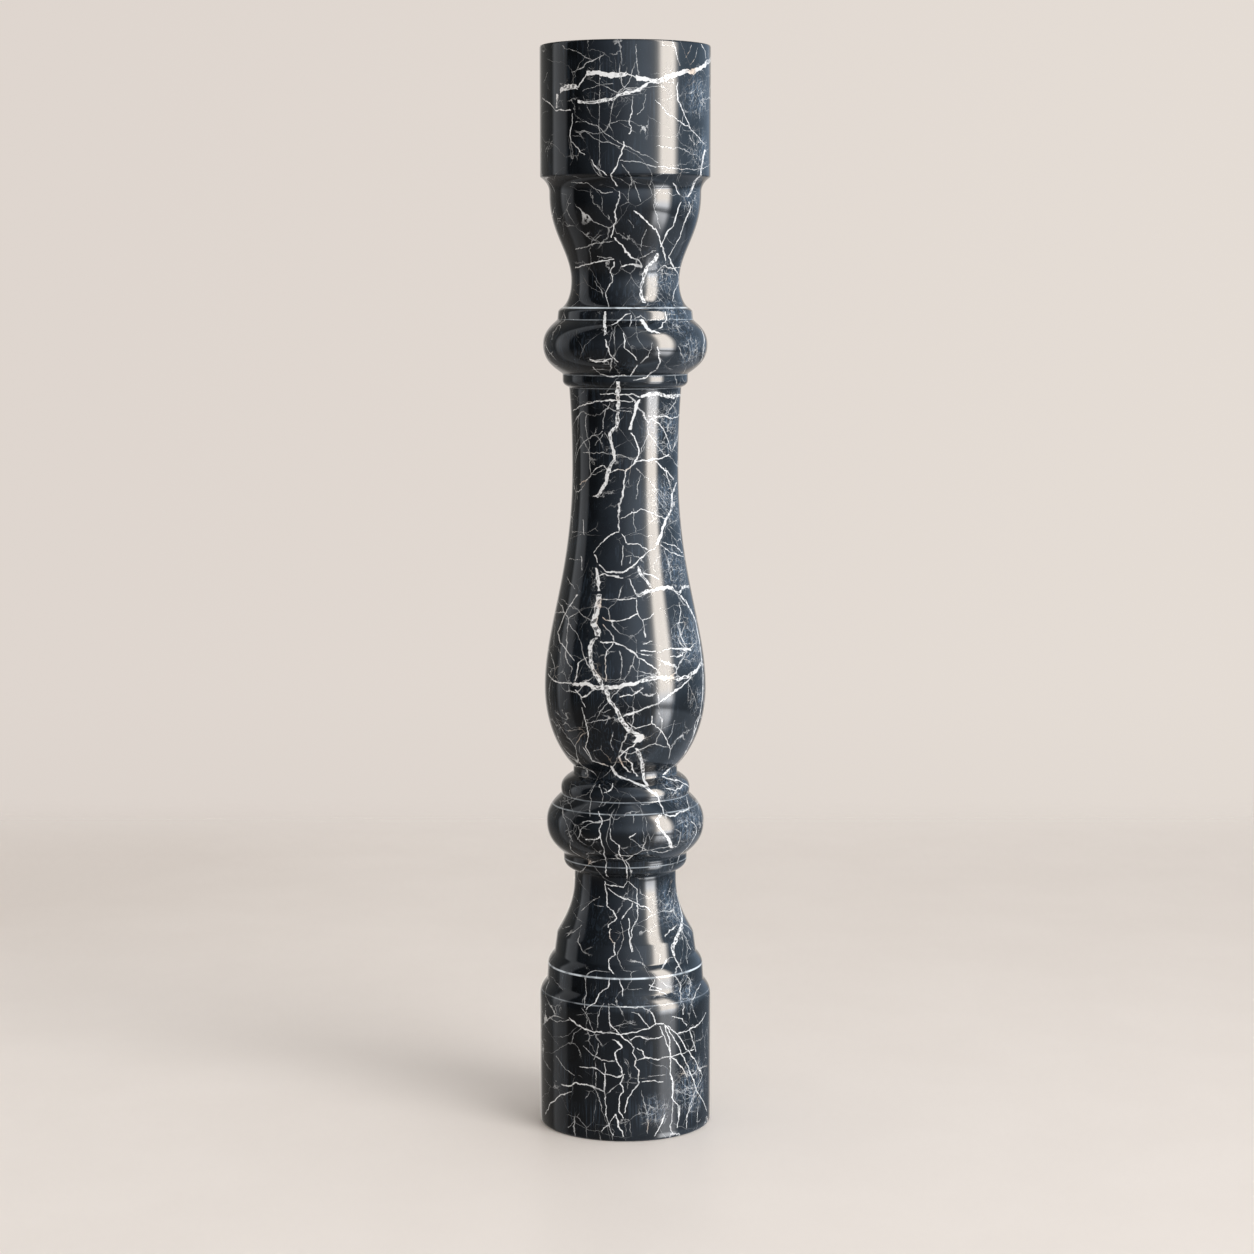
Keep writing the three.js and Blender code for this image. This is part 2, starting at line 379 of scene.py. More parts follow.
# Veins as read off the photo: the width in millimetres, then the route in the photo's pixels.
# The first list runs down the stone and never turns back up, the second runs across it.
veinsDown = [
    # Top drum
    (0.7, (636, 40), (637, 61), (639, 77)),
    (0.9, (633, 93), (632, 113), (628, 125), (632, 129), (629, 135), (624, 138)),
    (1.4, (624, 138), (624, 146), (622, 154), (619, 161), (614, 169), (611, 177), (618, 188)),
    (0.7, (648, 91), (644, 103), (643, 110), (638, 116), (633, 120)),
    (0.9, (672, 39), (675, 48), (680, 68)),
    (1.1, (679, 78), (677, 90), (678, 100), (684, 113), (690, 128), (699, 138), (706, 146)),
    (2.1, (706, 146), (703, 158), (701, 169), (697, 179), (692, 189), (687, 199)),
    (1.2, (700, 40), (705, 50), (706, 62)),
    (1.0, (573, 110), (573, 118), (571, 128), (570, 136), (573, 143), (578, 151), (586, 156)),
    (1.0, (586, 156), (591, 158), (594, 167), (603, 172), (609, 177)),
    (0.6, (571, 136), (572, 153), (574, 163)),
    (1.7, (558, 91), (557, 98), (557, 110)),
    (0.7, (619, 161), (629, 172), (636, 189), (641, 202)),
    (0.5, (600, 48), (600, 176)),
    (0.5, (694, 41), (690, 51), (684, 61)),
    (0.5, (699, 44), (696, 56), (690, 66)),
    (0.6, (549, 69), (546, 77), (543, 84)),
    (0.7, (687, 131), (692, 142), (697, 146)),
    (0.8, (701, 103), (700, 112), (700, 120)),
    (0.6, (711, 80), (711, 95), (710, 107)),
    # Cup
    (1.2, (618, 188), (620, 198), (617, 205), (615, 211), (616, 221), (613, 234), (609, 241)),
    (1.6, (613, 234), (616, 242), (623, 245), (627, 253), (633, 258), (639, 260), (643, 267)),
    (1.4, (625, 208), (633, 210), (639, 214), (644, 220), (651, 225), (657, 232), (660, 241), (666, 261)),
    (1.2, (672, 180), (677, 190), (682, 199)),
    (1.5, (682, 199), (677, 211), (675, 223), (667, 233), (663, 239), (661, 248)),
    (1.1, (687, 199), (691, 208), (686, 218), (681, 233), (676, 244), (669, 256), (671, 264), (676, 273)),
    (2.0, (656, 250), (658, 254), (653, 263), (647, 266), (644, 276), (641, 286), (641, 296), (647, 306)),
    (1.2, (669, 256), (674, 269), (679, 276), (678, 284), (674, 293), (673, 303)),
    (0.9, (614, 259), (614, 266), (610, 271), (614, 281), (606, 289), (606, 294), (609, 308)),
    (0.6, (648, 226), (643, 239), (639, 253)),
    (0.5, (602, 193), (602, 213)),
    (0.6, (622, 217), (629, 221), (635, 229)),
    (0.6, (656, 187), (654, 208), (658, 221), (660, 231)),
    (0.7, (608, 212), (608, 219), (613, 222)),
    (0.6, (658, 281), (662, 288), (666, 294)),
    (0.5, (593, 277), (599, 287), (605, 300)),
    # Upper bead
    (1.9, (606, 309), (604, 322), (606, 332), (604, 337)),
    (1.1, (604, 337), (607, 347), (611, 357), (619, 363)),
    (1.0, (623, 331), (625, 347), (633, 356), (639, 362)),
    (1.1, (639, 362), (633, 372), (628, 379)),
    (1.3, (657, 344), (659, 356), (660, 361), (656, 370)),
    (2.0, (638, 317), (643, 322), (648, 330), (657, 332), (664, 336)),
    (1.5, (664, 309), (666, 319), (659, 329)),
    (1.4, (690, 309), (692, 319), (702, 331), (703, 349), (699, 364)),
    (2.6, (619, 379), (618, 389), (618, 409)),
    (0.7, (677, 344), (681, 354), (684, 361)),
    (0.6, (688, 340), (690, 352), (688, 362)),
    (0.6, (694, 336), (697, 348), (695, 361)),
    (0.9, (631, 313), (632, 319), (630, 326)),
    # Shaft
    (2.2, (618, 409), (617, 426), (614, 428), (610, 435), (610, 441), (614, 451), (614, 460), (609, 470),
          (606, 483), (600, 494), (593, 499)),
    (1.7, (641, 397), (636, 407), (633, 420), (629, 430)),
    (1.4, (629, 430), (634, 435), (638, 445), (639, 455), (634, 463), (627, 470), (624, 483), (623, 496),
          (619, 503), (619, 521), (618, 527), (619, 532)),
    (0.7, (603, 431), (608, 438), (614, 451)),
    (1.2, (680, 415), (680, 428), (677, 441), (672, 450)),
    (1.3, (648, 416), (659, 423), (666, 435), (671, 450)),
    (1.3, (652, 460), (659, 465), (666, 471), (674, 480)),
    (2.1, (677, 480), (672, 493), (672, 508), (666, 519), (660, 537), (656, 546)),
    (1.0, (665, 465), (667, 476), (672, 493)),
    (0.7, (634, 465), (641, 473), (649, 480), (659, 494), (667, 506)),
    (0.7, (641, 473), (637, 488), (636, 499)),
    (1.1, (619, 532), (624, 536), (627, 544)),
    (1.0, (594, 553), (599, 564)),
    (1.0, (624, 545), (623, 554), (622, 567)),
    (1.7, (638, 564), (641, 574), (646, 581), (651, 588)),
    (1.0, (623, 577), (629, 579), (634, 589), (637, 596)),
    (1.4, (583, 518), (584, 536)),
    (1.0, (581, 554), (582, 571)),
    (0.8, (666, 401), (674, 407), (677, 415)),
    (0.7, (645, 444), (641, 453)),
    (0.9, (678, 434), (675, 443), (672, 452)),
    (0.8, (662, 472), (668, 479), (672, 484)),
    (0.6, (633, 507), (634, 520), (636, 535)),
    (0.7, (664, 549), (669, 565), (671, 580)),
    (0.7, (680, 509), (677, 518), (675, 526)),
    (0.8, (631, 555), (630, 565)),
    (0.7, (566, 574), (571, 584), (575, 589)),
    (0.5, (577, 482), (577, 500)),
    (0.6, (604, 432), (601, 438), (594, 447)),
    (0.8, (606, 407), (603, 420), (603, 431)),
    # Vase
    (1.8, (596, 566), (598, 580), (599, 593)),
    (4.2, (599, 593), (599, 603), (595, 615), (594, 625), (599, 633), (598, 637)),
    (2.6, (598, 637), (592, 641), (590, 648), (590, 660), (593, 668), (601, 683), (606, 691), (609, 699),
          (616, 709), (624, 724), (631, 732), (641, 736)),
    (5.0, (637, 734), (641, 737), (637, 743)),
    (1.5, (641, 739), (633, 746), (624, 751), (619, 757), (623, 766), (631, 774)),
    (1.5, (628, 750), (626, 758), (631, 763), (633, 772), (639, 776)),
    (2.2, (636, 747), (640, 757), (643, 767), (644, 779), (648, 787)),
    (1.8, (680, 594), (689, 607), (696, 622), (701, 653), (703, 690), (701, 709), (691, 741), (679, 762),
          (666, 772), (662, 777)),
    (1.3, (578, 593), (566, 612), (558, 632), (560, 641), (567, 651), (576, 663)),
    (1.1, (589, 656), (578, 662), (577, 673), (575, 682)),
    (0.9, (636, 598), (638, 615), (643, 621), (645, 633), (646, 638)),
    (0.9, (602, 623), (608, 630), (613, 636), (614, 643), (607, 651), (605, 660), (606, 683)),
    (0.8, (619, 650), (622, 660), (621, 673), (619, 683)),
    (0.7, (639, 658), (638, 669), (637, 679)),
    (1.0, (679, 600), (681, 610), (678, 626), (682, 636), (687, 650)),
    (1.1, (652, 714), (652, 723), (660, 729), (666, 739), (670, 751), (669, 759)),
    (0.8, (675, 719), (672, 732), (667, 741)),
    (1.0, (581, 706), (586, 722), (589, 736), (586, 747), (593, 761)),
    (0.8, (687, 681), (697, 709)),
    (0.9, (677, 638), (682, 645), (687, 650), (684, 657), (680, 664)),
    (0.6, (553, 604), (555, 627), (553, 652)),
    (0.9, (580, 694), (583, 703), (586, 709)),
    (0.5, (613, 730), (611, 742), (614, 752)),
    (0.6, (688, 683), (688, 705)),
    (0.8, (677, 741), (673, 746), (670, 751)),
    (0.8, (693, 614), (694, 625), (692, 635)),
    (0.8, (681, 627), (680, 633), (684, 642), (687, 648)),
    # Lower bead
    (1.9, (610, 765), (616, 774), (622, 778), (633, 781), (646, 787), (650, 791), (660, 798)),
    (1.5, (650, 791), (659, 799), (663, 809), (664, 815)),
    (1.9, (661, 813), (657, 820), (659, 828), (666, 836), (671, 846), (676, 848)),
    (0.9, (598, 811), (603, 820), (599, 829), (600, 836), (604, 849), (606, 863), (609, 878)),
    (1.0, (610, 828), (611, 839), (618, 844), (619, 853), (623, 859), (627, 869), (627, 879)),
    (1.2, (690, 820), (697, 828), (691, 843), (684, 851), (679, 858), (677, 864)),
    (0.8, (629, 837), (638, 844), (646, 851)),
    (0.7, (597, 782), (590, 795), (589, 812), (590, 818)),
    (0.8, (600, 782), (604, 796), (598, 808)),
    (0.9, (614, 782), (611, 790), (604, 794)),
    (0.7, (593, 823), (581, 829), (578, 840)),
    (0.8, (676, 829), (681, 833), (679, 842), (676, 848)),
    (1.0, (688, 790), (687, 800), (689, 812)),
    # Bell
    (1.3, (605, 881), (606, 896), (608, 907), (614, 911), (616, 919), (609, 924), (607, 929)),
    (1.1, (610, 929), (610, 937), (614, 944), (615, 954), (609, 960), (609, 967), (614, 974)),
    (0.9, (628, 881), (636, 889), (638, 902), (638, 917), (633, 927), (631, 940), (633, 952)),
    (1.3, (629, 917), (630, 940), (632, 952)),
    (2.3, (677, 892), (680, 906), (682, 916), (681, 926), (677, 937), (673, 945), (674, 957)),
    (1.5, (674, 957), (679, 965), (682, 972)),
    (1.4, (674, 957), (666, 960), (661, 970)),
    (0.9, (681, 926), (684, 936), (691, 950)),
    (0.6, (620, 921), (624, 938), (617, 955), (622, 969)),
    (0.8, (683, 936), (688, 949), (687, 964)),
    # Base drum
    (0.8, (585, 976), (586, 993), (585, 1008)),
    (1.1, (609, 978), (608, 986), (600, 994), (594, 1004), (586, 1009)),
    (1.0, (620, 979), (622, 989), (623, 998)),
    (1.3, (651, 1012), (654, 1019), (656, 1026)),
    (1.1, (631, 1012), (638, 1014), (649, 1028)),
    (1.1, (609, 1022), (613, 1028), (623, 1036), (635, 1048)),
    (1.2, (635, 1048), (633, 1053), (637, 1059), (634, 1066), (639, 1071), (639, 1082), (633, 1090),
          (628, 1099), (624, 1114)),
    (1.3, (611, 1040), (618, 1042), (622, 1048), (616, 1052), (616, 1059), (620, 1067), (624, 1075),
          (620, 1084), (624, 1091), (619, 1100), (619, 1111), (623, 1119)),
    (1.6, (616, 1114), (619, 1126), (624, 1136)),
    (1.3, (664, 1026), (669, 1039), (671, 1057), (671, 1074), (673, 1081), (672, 1099), (678, 1105),
          (679, 1119)),
    (1.3, (659, 1026), (672, 1056), (688, 1077)),
    (1.3, (664, 1024), (679, 1047), (691, 1074), (697, 1091), (707, 1111)),
    (1.3, (667, 1026), (677, 1034), (687, 1049), (699, 1067), (702, 1076)),
    (1.1, (690, 1029), (693, 1042), (696, 1052)),
    (1.0, (605, 1062), (605, 1074), (604, 1092), (605, 1099), (606, 1115), (609, 1126), (614, 1136)),
    (0.7, (556, 1056), (563, 1066), (575, 1077)),
    (1.3, (664, 1114), (662, 1124), (654, 1136)),
    (1.1, (680, 1106), (680, 1114), (677, 1128)),
    (0.9, (695, 1096), (687, 1116), (686, 1128)),
    (0.8, (641, 1091), (644, 1104), (648, 1116), (647, 1134)),
    (1.0, (655, 980), (649, 990)),
    (1.2, (675, 976), (681, 985), (681, 1000)),
    (0.9, (687, 975), (691, 985), (688, 995)),
    (1.0, (700, 983), (696, 992), (692, 1001)),
    (1.0, (683, 1003), (683, 1015)),
    (0.8, (691, 1003), (696, 1018)),
    (0.6, (582, 1028), (574, 1033), (571, 1043)),
    (0.8, (582, 1008), (588, 1018), (593, 1030)),
    (0.6, (604, 1003), (598, 1014), (597, 1028)),
    (0.8, (609, 1003), (609, 1018), (611, 1030)),
    (0.8, (598, 1043), (597, 1053), (594, 1061)),
    (0.6, (596, 1072), (596, 1089), (602, 1112)),
    (1.0, (637, 1048), (643, 1052), (645, 1059)),
    (0.9, (703, 1074), (696, 1090), (690, 1105), (687, 1118)),
    (0.9, (698, 1106), (697, 1122)),
    (0.7, (575, 1120), (568, 1128)),
]
veinsAcross = [
    # Top drum
    (3.3, (560, 91), (566, 88), (573, 86), (578, 88)),
    (1.3, (578, 88), (582, 81), (587, 73)),
    (2.9, (587, 73), (598, 73), (606, 75), (619, 75), (627, 73)),
    (1.5, (627, 73), (636, 78)),
    (3.0, (636, 78), (644, 79), (652, 81), (659, 81), (666, 78), (674, 75), (684, 72), (694, 71),
          (701, 68), (707, 63), (713, 58)),
    (1.8, (578, 102), (593, 102), (603, 101), (613, 98), (623, 94), (633, 92), (641, 88), (652, 82)),
    (0.7, (614, 97), (622, 90), (628, 83), (633, 70), (635, 62)),
    (0.9, (655, 100), (667, 113), (679, 121), (690, 128)),
    (0.8, (620, 161), (633, 161), (644, 164), (657, 167), (667, 168), (682, 169), (696, 169), (704, 168),
          (711, 163)),
    (0.6, (575, 122), (586, 122), (598, 126), (606, 134), (619, 143), (641, 153), (652, 158), (659, 163)),
    (0.6, (575, 132), (585, 131), (594, 138), (606, 142), (621, 147)),
    (0.9, (542, 98), (550, 103), (556, 110), (571, 110)),
    (0.8, (571, 73), (581, 69), (590, 62), (600, 57), (604, 54)),
    (0.8, (657, 146), (676, 148), (684, 149), (690, 153), (696, 155)),
    (0.5, (582, 91), (597, 86), (612, 83)),
    (0.5, (562, 46), (577, 52), (593, 61)),
    # Cup
    (1.1, (575, 268), (590, 264), (603, 261), (614, 259)),
    (1.1, (621, 266), (631, 264), (643, 267)),
    (0.7, (575, 250), (590, 245), (603, 242), (613, 241)),
    (0.6, (571, 182), (586, 183), (596, 189), (602, 193), (613, 192)),
    (0.8, (639, 258), (649, 254), (657, 250)),
    (0.9, (657, 273), (663, 266), (672, 269), (681, 267)),
    (0.6, (658, 274), (668, 273), (676, 275)),
    (0.7, (597, 256), (604, 258), (612, 257)),
    # Upper bead
    (1.1, (590, 359), (596, 362), (606, 361), (611, 359)),
    (1.1, (633, 380), (646, 377), (656, 370)),
    (0.9, (593, 367), (600, 374), (613, 377), (626, 376)),
    (0.8, (640, 363), (648, 356), (652, 342)),
    (1.0, (611, 325), (616, 322), (624, 316), (631, 313)),
    (0.8, (635, 319), (640, 316), (645, 319)),
    # Shaft
    (1.0, (600, 394), (616, 394), (631, 394), (641, 397)),
    (2.2, (641, 397), (649, 394), (659, 394), (669, 396), (681, 395)),
    (1.0, (573, 411), (583, 405), (603, 400), (619, 401), (634, 402)),
    (0.8, (604, 404), (614, 410), (631, 411)),
    (0.8, (575, 463), (578, 451), (583, 443), (593, 436), (603, 432)),
    (0.7, (583, 453), (600, 453), (613, 454), (623, 455), (634, 461)),
    (1.0, (580, 484), (589, 478), (594, 470), (603, 465), (608, 470)),
    (0.9, (609, 473), (616, 470), (626, 471)),
    (1.6, (634, 463), (639, 461), (649, 460), (659, 459), (669, 455)),
    (1.3, (648, 416), (666, 417), (672, 418), (680, 415)),
    (0.9, (621, 518), (629, 514), (641, 509), (652, 513), (665, 519)),
    (1.0, (594, 553), (603, 541), (611, 534), (619, 532)),
    (1.0, (627, 544), (638, 544), (648, 549)),
    (1.4, (599, 564), (606, 571), (616, 573), (626, 571), (633, 566), (641, 559), (648, 551), (656, 547)),
    (1.3, (643, 573), (649, 574), (659, 578)),
    (1.9, (636, 596), (643, 593), (652, 590), (662, 588), (672, 588), (679, 594), (682, 587), (689, 586)),
    (1.1, (596, 576), (606, 574), (616, 577), (623, 577)),
    (0.9, (603, 599), (619, 600), (636, 598)),
    (0.6, (654, 446), (662, 443), (668, 445)),
    (0.7, (658, 452), (666, 447), (673, 452)),
    (0.9, (660, 545), (672, 553), (683, 557), (688, 561)),
    (0.9, (662, 543), (673, 545), (683, 553), (689, 562)),
    (0.8, (626, 557), (632, 555)),
    (0.7, (569, 558), (580, 560)),
    # Vase
    (1.3, (548, 674), (553, 680), (563, 683), (573, 684)),
    (2.4, (573, 684), (586, 684), (596, 688), (606, 688), (616, 687), (633, 684), (644, 680), (657, 678),
          (671, 677), (679, 679), (689, 676), (697, 670), (702, 661)),
    (1.6, (575, 690), (583, 698), (595, 689)),
    (0.9, (602, 617), (605, 620), (619, 621), (629, 618), (638, 615)),
    (1.0, (643, 621), (649, 618), (654, 613)),
    (1.4, (600, 642), (614, 643), (624, 646), (633, 653), (639, 658), (649, 664), (657, 670)),
    (1.6, (623, 716), (633, 714), (646, 708), (656, 704), (666, 698), (677, 689), (691, 678)),
    (1.0, (628, 723), (636, 728), (646, 725), (652, 723)),
    (1.5, (641, 651), (656, 651)),
    (1.0, (643, 644), (652, 642)),
    (1.2, (620, 698), (628, 694), (632, 696), (636, 693), (644, 688)),
    (1.0, (657, 653), (671, 648), (687, 650), (697, 641)),
    (1.0, (671, 657), (682, 655), (687, 650)),
    (0.8, (573, 606), (583, 615), (592, 622)),
    (1.1, (583, 747), (593, 761), (608, 766)),
    (2.0, (683, 650), (687, 649), (691, 650)),
    (0.5, (561, 598), (570, 606), (580, 612)),
    (0.9, (641, 654), (652, 656)),
    (0.6, (597, 711), (604, 712), (611, 709)),
    (0.6, (588, 724), (600, 720), (610, 719)),
    # Lower bead
    (1.5, (662, 777), (679, 781), (689, 787)),
    (0.9, (585, 840), (593, 839), (600, 837)),
    (1.1, (629, 837), (636, 833)),
    (1.5, (664, 815), (672, 816), (680, 813), (688, 809)),
    (1.2, (661, 782), (665, 788), (675, 790), (683, 785)),
    # Bell
    (1.0, (606, 884), (623, 887), (627, 881)),
    (1.0, (608, 888), (619, 896), (633, 902), (646, 907), (652, 912)),
    (1.2, (621, 919), (628, 911), (633, 904)),
    (0.9, (664, 937), (670, 930), (676, 925)),
    (0.5, (581, 911), (593, 900), (600, 896)),
    (0.6, (567, 935), (575, 931), (582, 925)),
    (0.7, (594, 905), (604, 907)),
    # Base drum
    (1.1, (616, 1007), (629, 1007), (643, 1007), (651, 1012)),
    (1.2, (569, 1018), (580, 1026), (594, 1032), (608, 1033), (621, 1034), (636, 1032), (649, 1028),
          (656, 1024), (664, 1024)),
    (1.2, (649, 984), (661, 990)),
    (1.0, (638, 1060), (646, 1058), (656, 1059), (671, 1056), (682, 1053), (694, 1050)),
    (1.0, (629, 1040), (636, 1037), (649, 1039), (662, 1036)),
    (1.1, (678, 1034), (689, 1029), (699, 1024), (706, 1012)),
    (0.9, (672, 1017), (682, 1019), (687, 1026)),
    (1.0, (580, 1067), (594, 1068), (604, 1074), (616, 1077), (626, 1074)),
    (0.8, (583, 1046), (593, 1056), (603, 1060), (616, 1061)),
    (1.6, (561, 1084), (571, 1086), (576, 1083), (586, 1085), (596, 1087), (604, 1092)),
    (1.3, (545, 1115), (551, 1104), (561, 1095), (573, 1092)),
    (0.9, (601, 1131), (609, 1124), (616, 1114)),
    (0.8, (674, 1090), (684, 1094), (694, 1096)),
    (1.0, (649, 990), (658, 991), (668, 996)),
    (0.8, (549, 1017), (559, 1022), (570, 1020)),
    (0.5, (612, 1027), (624, 1024), (636, 1022)),
    (0.9, (641, 1082), (652, 1081), (664, 1081)),
    (0.6, (648, 1076), (658, 1075), (666, 1074)),
]

# Mist of fine bluish flecks: its middle in the photo's pixels, then its reach in millimetres
mist = [
    ((698, 95), 20), ((700, 150), 18), ((692, 200), 16), ((664, 280), 18), ((676, 318), 22),
    ((692, 350), 16), ((666, 430), 24), ((668, 500), 24), ((676, 570), 22), ((690, 640), 26),
    ((697, 700), 14), ((676, 785), 22), ((690, 825), 20), ((672, 905), 24), ((684, 990), 18),
    ((694, 1085), 26), ((655, 1110), 14),
]

# Painted highlights: pale lines painted along the ledges where the polished arrises mirror the light; a
# pixel at the line's height, its width in millimetres, its strength
paintedLedgeHighlights = [
    ((627, 308), 1.0, 1.1), ((627, 320), 0.5, 0.4), ((627, 376), 0.6, 0.35), ((627, 389), 0.5, 0.3),
    ((627, 803), 0.6, 0.35), ((627, 815), 0.7, 0.5), ((627, 868), 0.7, 0.5), ((627, 979), 1.2, 1.0),
    ((627, 1007), 0.8, 0.35),
]


def radiusAt(height):
    for lower, upper in zip(outline[:-1], outline[1:]):
        if lower.z <= height <= upper.z and upper.z > lower.z:
            share = (height - lower.z) / (upper.z - lower.z)
            return lower.x + (upper.x - lower.x) * share
    return baluster["baseDrumRadius"]


# Height in millimetres and degrees around the axis of what the camera sees at a pixel of the photo
def onStone(pixel):
    focal = camera["lens"] / camera["sensor"] * camera["photoWidth"]
    middle = camera["photoWidth"] / 2
    tilt = math.radians(camera["tiltDown"])
    eye = Vector(camera["place"]) / mm
    across = (pixel[0] - middle) / focal
    up = (middle - pixel[1]) / focal
    ray = Vector((across, math.cos(tilt) + up * math.sin(tilt), up * math.cos(tilt) - math.sin(tilt)))
    edge = 0.995        # as far around as a pixel on the outline reaches
    depth = 0
    rounds = 8          # each brings the depth closer
    for _ in range(rounds):
        hit = eye + ray * ((depth - eye.y) / ray.y)
        radius = radiusAt(hit.z)
        side = max(-edge, min(edge, hit.x / radius))
        depth = -radius * math.sqrt(1 - side * side)
    return hit.z, math.degrees(math.asin(side))


# A vein as the photo shows it: its route over the stone and its half width along it, in the units of
# the route. It's wider where it runs aslant, narrows at both ends and has nothing past them.
def layVein(width, pixels, runsDown):
    spots = [onStone(pixel) for pixel in pixels]
    if not runsDown:
        spots = [(degrees, height) for height, degrees in spots]
    spots.sort()
    route = spots[:1]
    for spot in spots[1:]:
        if spot[0] - route[-1][0] > marble["closest"]:
            route.append(spot)
    widths = []
    for i, (along, aside) in enumerate(route):
        arc = math.radians(radiusAt(along if runsDown else aside))      # millimetres in a degree there
        before = route[max(i - 1, 0)]
        after = route[min(i + 1, len(route) - 1)]
        run = after[0] - before[0]
        rise = after[1] - before[1]
        slope = rise * arc / run if runsDown else rise / (run * arc)
        half = width / 2 * min(marble["widest"], math.hypot(1, slope))
        if width < marble["boldFrom"]:
            half *= marble["thinShare"]
        if i in (0, len(route) - 1):
            half *= marble["endShare"]
        widths.append((along, half / arc if runsDown else half))
    past = marble["pastEnd"]
    reach = marble["closest"]
    return route, [(route[0][0] - reach, past)] + widths + [(route[-1][0] + reach, past)]


# How deep a point lies in the deepest of several veins; below 0 it lies outside all of them
def depthInVeins(wire, along, aside, veins, runsDown):
    deepest = None
    for width, *pixels in veins:
        route, widths = layVein(width, pixels, runsDown)
        middle = wire.node("FloatCurve", {"route": route}, {"Value": along})
        half = wire.node("FloatCurve", {"route": widths}, {"Value": along})
        depth = half - abs(aside - middle)
        deepest = deepest.most(depth) if deepest else depth
    return deepest


